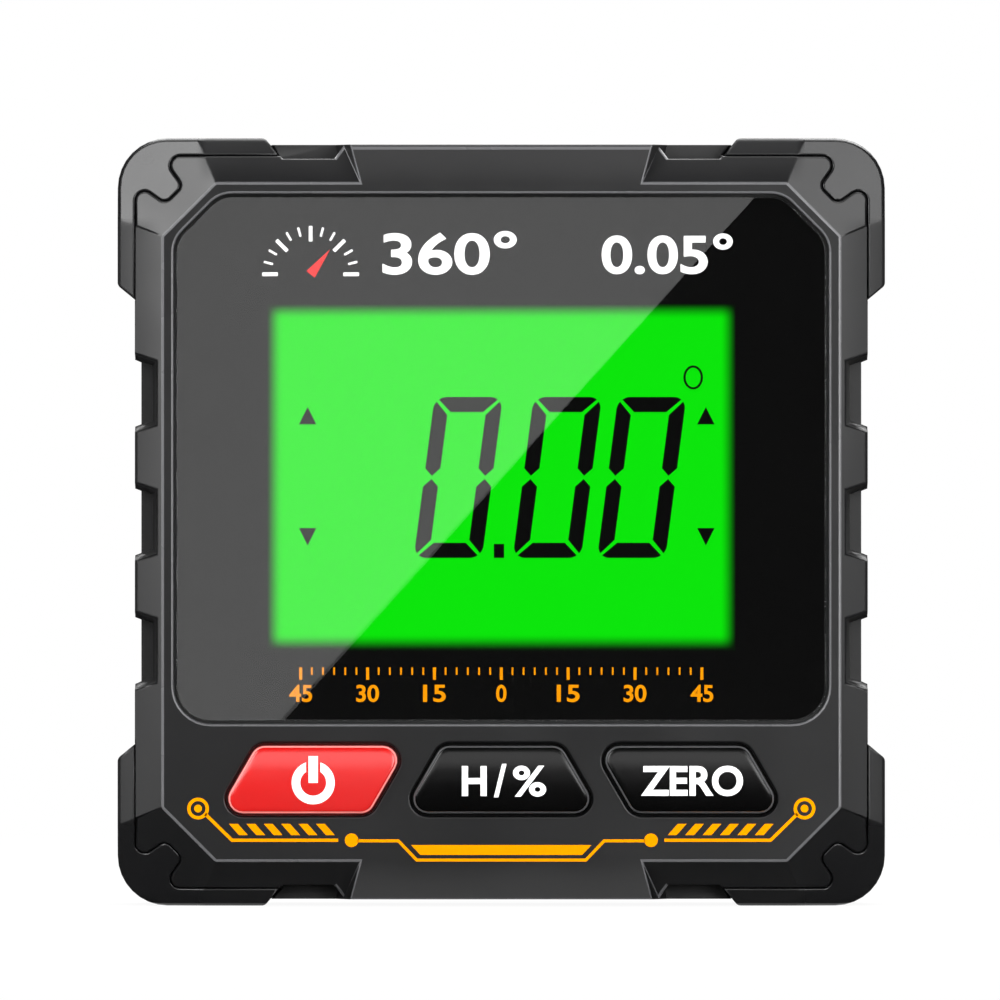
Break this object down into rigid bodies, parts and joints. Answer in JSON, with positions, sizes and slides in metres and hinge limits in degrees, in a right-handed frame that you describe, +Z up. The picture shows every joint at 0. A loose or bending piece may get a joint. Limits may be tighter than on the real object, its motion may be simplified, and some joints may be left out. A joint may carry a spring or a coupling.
{
  "type": "digital angle gauge",
  "caption": "Square pocket digital inclinometer with corner guards, backlit display, press keys, magnetic base and a sliding battery door.",
  "frame": {"origin": "on the ground under the middle of the gauge", "axes": "+X to the right seen from the front, -Y towards the viewer of the display, +Z up"},
  "size_m": [0.062, 0.0278, 0.062],
  "materials": {
    "case_plastic": "moulded, satin",
    "guard_plastic": "moulded, satin",
    "lens": "clear, polished",
    "mask": "black film",
    "display": "backlit",
    "white_plastic": "moulded",
    "light_guide": "clear, edge lit",
    "lamp": "clear",
    "connector": "soft strip",
    "board": "lacquered laminate",
    "chip": "moulded",
    "metal_can": "plated",
    "capacitor": "fired",
    "key_red": "polished",
    "key_black": "polished",
    "switch_body": "moulded",
    "plunger": "moulded",
    "screw": "plated",
    "magnet": "nickel plated",
    "cell_sleeve": "printed sleeve",
    "contact": "nickel plated"
  },
  "bodies": {
    "housing": {"front_case": "case_plastic", "rear_case": "case_plastic", "corner_guard_top_left": "guard_plastic", "corner_guard_top_right": "guard_plastic", "corner_guard_bottom_left": "guard_plastic", "corner_guard_bottom_right": "guard_plastic", "display_lens": "lens", "lens_mask": "mask", "display_glass": "display", "display_frame": "white_plastic", "backlight_panel": "light_guide", "backlight_lamp": "lamp", "connector_strip": "connector", "main_board": "board", "controller_chip": "chip", "tilt_sensor": "metal_can", "board_crystal": "metal_can", "chip_capacitors": "capacitor", "power_switch": "switch_body", "mode_switch": "switch_body", "zero_switch": "switch_body", "board_screws": "screw", "case_screws": "screw", "base_magnet_left": "magnet", "base_magnet_right": "magnet", "battery_left": "cell_sleeve", "battery_right": "cell_sleeve", "contact_positive": "contact", "contact_negative": "contact", "contact_bridge": "contact", "contact_spring_left": "contact", "contact_spring_right": "contact"},
    "power_key": {"power_button": "key_red", "power_plunger": "plunger"},
    "mode_key": {"mode_button": "key_black", "mode_plunger": "plunger"},
    "zero_key": {"zero_button": "key_black", "zero_plunger": "plunger"},
    "battery_cover": {"battery_door": "case_plastic"}
  },
  "joints": [
    {"name": "power_press", "type": "slide", "parent": "housing", "child": "power_key", "axis": [0, 1, 0], "range_m": [0, 0.0005], "stiffness_N_per_m": 1500, "springref_m": -0.0005},
    {"name": "mode_press", "type": "slide", "parent": "housing", "child": "mode_key", "axis": [0, 1, 0], "range_m": [0, 0.0005], "stiffness_N_per_m": 1500, "springref_m": -0.0005},
    {"name": "zero_press", "type": "slide", "parent": "housing", "child": "zero_key", "axis": [0, 1, 0], "range_m": [0, 0.0005], "stiffness_N_per_m": 1500, "springref_m": -0.0005},
    {"name": "battery_door_slide", "type": "slide", "parent": "housing", "child": "battery_cover", "axis": [0, 0, 1], "range_m": [0, 0.058]}
  ]
}
